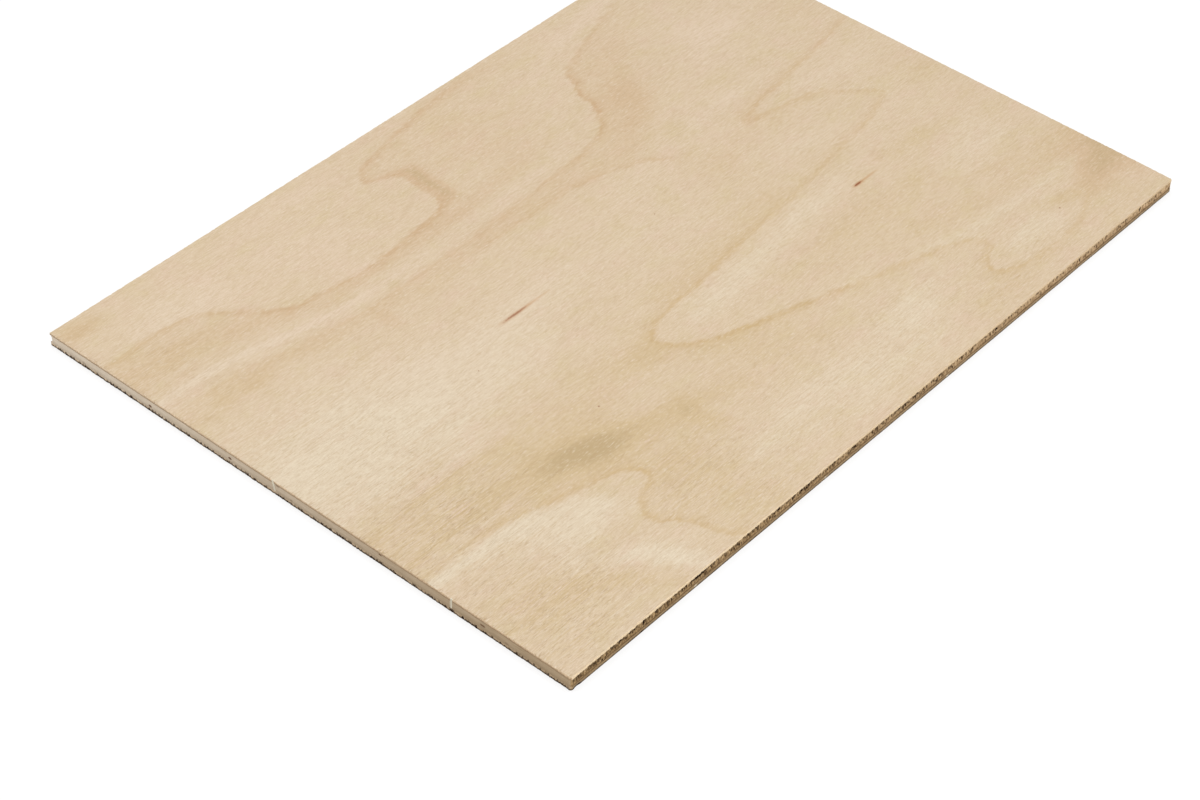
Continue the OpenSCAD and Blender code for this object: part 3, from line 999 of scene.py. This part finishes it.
def end_grain(name, axis, colours, shade, shaded):
    """A sawn wall that shows the cut ends of the fibres: pores, bundles and dark hollows.
    The wall runs along that axis, and darkens to shade from the first height of shaded
    down to the second."""
    s = Shader(name)
    # the colours change along the wall, partly as the wood's own change and partly as painted
    # light
    tan, brown = (s.mix(s.way_along(axis), *ends) for ends in zip(*colours))
    bundle = s.noise((0.45, 0.45, 1.5), detail=3.0, rough=0.6)
    base = s.mix(s.rise(bundle, 0.38, 0.62), tan, brown)
    blotch = s.noise((2.4, 2.4, 0.9), (3.0, 3.0, 3.0), detail=3.0)
    base = s.mix(s.rise(blotch, 0.4, 0.75, 0.0, 0.4), base, brown)
    pore = s.noise((0.11, 0.11, 0.16), (6.0, 6.0, 1.0), detail=1.0)
    open_pore = s.rise(pore, 0.56, 0.72)
    base = s.mix(s.math("MULTIPLY", open_pore, 0.6), base, OPEN_PORE)
    fuzz = s.noise((0.2, 0.2, 0.9), (2.0, 4.0, 1.0), detail=3.0, rough=0.7)
    base = s.mix(s.rise(fuzz, 0.5, 0.75, 0.0, 0.5), base, PALE_FUZZ)
    base = s.mix(s.rise(s.along("z"), *shaded, 0.0, 0.75), base, shade)
    base = edge_marks(s, base)
    height = s.math("SUBTRACT", s.math("ADD", bundle, fuzz), s.math("MULTIPLY", open_pore, 0.15))
    return s.finish(base, s.rise(fuzz, 0.3, 0.7, 0.74, 0.9), height, 0.12, 0.06)


# ---- the three veneers

# Spacing of the wall points on the near, right, far and left edges, and their rows.
CORE_STEPS, OUTER_STEPS = (0.18, 0.18, 0.24, 0.24), (0.16, 0.26, 0.2, 0.4)
CORE_ROWS, BACK_ROWS, FACE_ROWS = 13, 8, 5


def wear_by_edge(end, side):
    """The wear of an outer arris on each edge, as arris() takes it."""
    return {edge: end if edge in (NEAR, FAR) else side for edge in range(6)}


FACE_WEAR = wear_by_edge(end=(0.10, 0.14, 1.2), side=(0.14, 0.30, 0.6))
BACK_WEAR = wear_by_edge(end=(0.03, 0.16, 0.4), side=(0.14, 0.12, 0.4))


def unworn(outline):
    """No wear, for an arris that is glued to the next veneer."""
    return np.zeros(outline.length), np.zeros(outline.length)


def add_materials(piece, *materials):
    """A veneer's materials, in the order of FLAT, SIDE and END."""
    for material in materials:
        piece.data.materials.append(material)


def make_face():
    outline = Outline(LEFT_X, RIGHT_X, OUTER_STEPS)
    relief = face_relief(outline, np.linspace(FACE_LOW[2], FACE_HIGH[2], FACE_ROWS))
    top = arris(outline, 61, FACE_WEAR, 0.15, 5.0)
    piece, points = build_veneer("face_sheet", FACE_LOW, FACE_HIGH, relief, unworn(outline), top,
                                 (HIDDEN_CELL, FIGURED_CELL), 1.1, "y",
                                 (GLUED_SHARE, OUTER_SHARE, *WALL_SHARES))
    add_figure(piece, points, FACE_HIGH[2], FACE_RINGS, FACE_BANDS, FACE_PATCHES, FACE_STREAKS)
    add_materials(piece,
                  veneer_face("face_figure", (0.0, 0.0), PIN_KNOTS, SPECKS),
                  side_grain("face_side_grain", "y", FACE_SIDE, (0.2, 1.2, 0.12), 0.15),
                  end_grain("face_end_grain", "x", FACE_END, *FACE_SHADE))
    return piece


def make_core():
    outline = Outline(CORE_LOW[0], CORE_HIGH[0], CORE_STEPS)
    relief = core_relief(outline, np.linspace(CORE_LOW[2], CORE_HIGH[2], CORE_ROWS))
    piece, _ = build_veneer("core_sheet", CORE_LOW, CORE_HIGH, relief, unworn(outline),
                            unworn(outline), (HIDDEN_CELL, HIDDEN_CELL), 2.6, "x", CORE_SHARES)
    add_materials(piece,
                  side_grain("core_flat", "x", CORE_SIDE, (1.2, 0.2, 0.12), 0.12),
                  side_grain("core_side_grain", "x", CORE_SIDE, (1.2, 0.2, 0.12), 0.12),
                  end_grain("core_end_grain", "y", CORE_END, *CORE_SHADE))
    return piece


def make_back():
    outline = Outline(LEFT_X, RIGHT_X, OUTER_STEPS)
    relief = back_relief(outline, np.linspace(BACK_LOW[2], BACK_HIGH[2], BACK_ROWS))
    # the foot is sharpest round the front corner
    from_front = np.hypot(outline.x - RIGHT_X, outline.y - NEAR_Y)
    kept = 0.15 + 0.85 * smooth_step(from_front, 10.0, 180.0)
    foot = [kept * amount for amount in arris(outline, 71, BACK_WEAR, 0.1, 3.0)]
    piece, points = build_veneer("back_sheet", BACK_LOW, BACK_HIGH, relief, foot, unworn(outline),
                                 (FIGURED_CELL, HIDDEN_CELL), 1.4, "y",
                                 (OUTER_SHARE, GLUED_SHARE, *WALL_SHARES))
    add_figure(piece, points, BACK_LOW[2], BACK_RINGS, BACK_BANDS, BACK_PATCHES, BACK_STREAKS)
    add_materials(piece,
                  veneer_face("back_figure", (40.0, 17.0), [], []),
                  side_grain("back_side_grain", "y", BACK_SIDE, (0.3, 0.35, 0.6), 0.6),
                  end_grain("back_end_grain", "x", BACK_END, *BACK_SHADE))
    return piece


for make, node, slot_name in ((make_face, "face_veneer", "face_wood"),
                              (make_core, "core_veneer", "core_wood"),
                              (make_back, "back_veneer", "back_wood")):
    veneer = make()
    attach(veneer, "root")
    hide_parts(node)

# ---- floor, lights and camera

FLOOR_SIZE = 8.0  # metres
FLOOR_GREY, FLOOR_GLOW = 0.2, 0.78  # it is lit from below too, like a light table
FLOOR_DROP = 0.00005  # metres below the sheet, so that the two faces don't coincide


SKY_GLOW = 0.46
# The softboxes, as (name, place, target, size, power), in metres and watts.
SOFTBOXES = [
    ("overhead", (-0.1, 0.25, 1.7), (0.0, 0.0, 0.0), 1.4, 21.5),
    ("left_side", (-0.75, -0.55, 0.45), (-0.08, -0.15, 0.0), 0.5, 3.2),
    ("right_side", (0.85, -0.15, 0.3), (0.1, 0.0, 0.0), 0.5, 4.0),
]


def make_floor():
    mesh = bpy.data.meshes.new("floor")
    half = FLOOR_SIZE / 2
    corners = [(-half, -half), (half, -half), (half, half), (-half, half)]
    mesh.from_pydata([(x, y, -FLOOR_DROP) for x, y in corners], [], [(0, 1, 2, 3)])
    floor = bpy.data.objects.new("floor", mesh)
    bpy.context.scene.collection.objects.link(floor)
    material = bpy.data.materials.new("floor_paint")
    material.use_nodes = True
    surface = material.node_tree.nodes["Principled BSDF"]
    surface.inputs["Base Color"].default_value = (FLOOR_GREY, FLOOR_GREY, FLOOR_GREY, 1.0)
    surface.inputs["Roughness"].default_value = 0.9
    surface.inputs["Specular IOR Level"].default_value = 0.1
    surface.inputs["Emission Color"].default_value = (1.0, 1.0, 1.0, 1.0)
    surface.inputs["Emission Strength"].default_value = FLOOR_GLOW
    mesh.materials.append(material)


def soft_light(name, place, target, size, power):
    """A square softbox at place, turned towards target."""
    light = bpy.data.lights.new(name, "AREA")
    light.shape = "SQUARE"
    light.size = size
    light.energy = power
    lamp = bpy.data.objects.new(name, light)
    lamp.location = place
    lamp.rotation_euler = (Vector(target) - Vector(place)).to_track_quat("-Z", "Y").to_euler()
    bpy.context.scene.collection.objects.link(lamp)


def make_lights():
    world = bpy.data.worlds.new("studio")
    world.use_nodes = True
    background = world.node_tree.nodes["Background"]
    background.inputs["Color"].default_value = (1.0, 1.0, 1.0, 1.0)
    background.inputs["Strength"].default_value = SKY_GLOW
    bpy.context.scene.world = world
    for softbox in SOFTBOXES:
        soft_light(*softbox)


CAMERA_AZIMUTH, CAMERA_ELEVATION, CAMERA_ROLL = 37.55, 42.26, 3.29  # degrees
CAMERA_TARGET = (0.0592, -0.0391, 0.005)  # metres, on the sheet's top face
CAMERA_DISTANCE = 0.889  # metres
CAMERA_LENS, SENSOR_WIDTH = 89.5, 36.0  # millimetres
CAMERA_SHIFT = -0.0833  # of the frame's width, because the photograph is cropped off centre


def make_camera():
    azimuth, elevation, roll = (
        math.radians(a) for a in (CAMERA_AZIMUTH, CAMERA_ELEVATION, CAMERA_ROLL))
    back = Vector((math.sin(azimuth) * math.cos(elevation),
                   -math.cos(azimuth) * math.cos(elevation), math.sin(elevation)))
    right = Vector((math.cos(azimuth), math.sin(azimuth), 0.0))
    level = Matrix((right, back.cross(right), back)).transposed()
    data = bpy.data.cameras.new("camera")
    data.lens = CAMERA_LENS
    data.sensor_width = SENSOR_WIDTH
    data.shift_x = CAMERA_SHIFT
    data.clip_start = 0.01
    camera = bpy.data.objects.new("camera", data)
    turned = level @ Matrix.Rotation(roll, 3, "Z")
    place = Vector(CAMERA_TARGET) + back * CAMERA_DISTANCE
    camera.matrix_world = Matrix.Translation(place) @ turned.to_4x4()
    bpy.context.scene.collection.objects.link(camera)
    bpy.context.scene.camera = camera


make_floor()
make_lights()
make_camera()
bpy.context.scene.view_settings.view_transform = "Standard"
